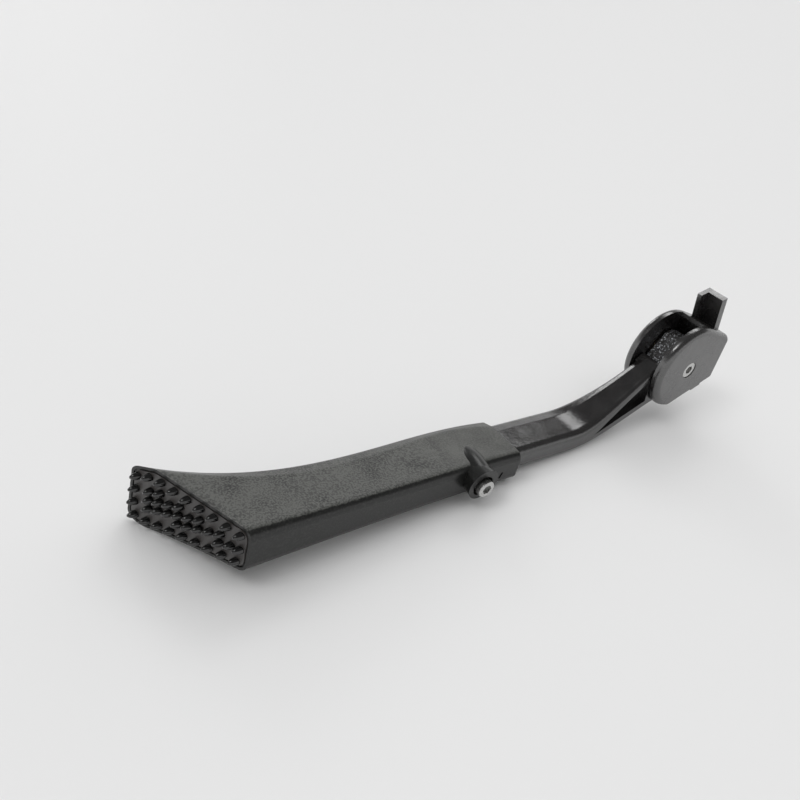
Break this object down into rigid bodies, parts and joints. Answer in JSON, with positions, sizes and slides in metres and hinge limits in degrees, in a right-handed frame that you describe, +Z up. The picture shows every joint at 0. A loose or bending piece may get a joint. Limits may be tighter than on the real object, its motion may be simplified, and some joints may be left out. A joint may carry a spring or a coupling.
{
  "type": "bicycle kickstand",
  "caption": "Side-mount bicycle kickstand: folding cast leg on a clevis bracket with stay tab, and a length-adjusting plastic sleeve with flared spiked foot.",
  "frame": {"origin": "middle of the bounding box at floor level, the stand lying at rest on its leg and foot", "axes": "+X along the leg from foot to head, +Z up from the floor, -Y the clamp screw's side"},
  "size_m": [0.3664, 0.0768, 0.0821],
  "materials": {
    "cast_black": "gloss black coat on cast aluminium",
    "moulded_black": "fine grained moulded plastic",
    "tread_black": "satin to gloss moulded plastic",
    "steel": "zinc plated steel",
    "brass": "turned"
  },
  "bodies": {
    "head": {"bracket": "cast_black", "pivot_pin": "steel", "pivot_nut": "steel", "detent_spring": "steel"},
    "leg_body": {"leg": "cast_black", "bush_near": "brass", "bush_far": "brass"},
    "foot": {"sleeve": "moulded_black", "tread_pad": "tread_black", "clamp_screw": "steel", "clamp_insert": "brass"},
    "plunger": {"detent_plunger": "steel"}
  },
  "joints": [
    {"name": "leg_fold", "type": "hinge", "parent": "head", "child": "leg_body", "pos_m": [0.15286, -0.01316, 0.03934], "axis": [0, 1, 0], "range_deg": [0, 72]},
    {"name": "length_slide", "type": "slide", "parent": "leg_body", "child": "foot", "axis": [0.9966, 0, -0.0819], "range_m": [-0.03, 0.03]},
    {"name": "detent_slide", "type": "slide", "parent": "head", "child": "plunger", "axis": [-0.9966, 0, 0.0819], "range_m": [0, 0.0006], "stiffness_N_per_m": 1500}
  ]
}
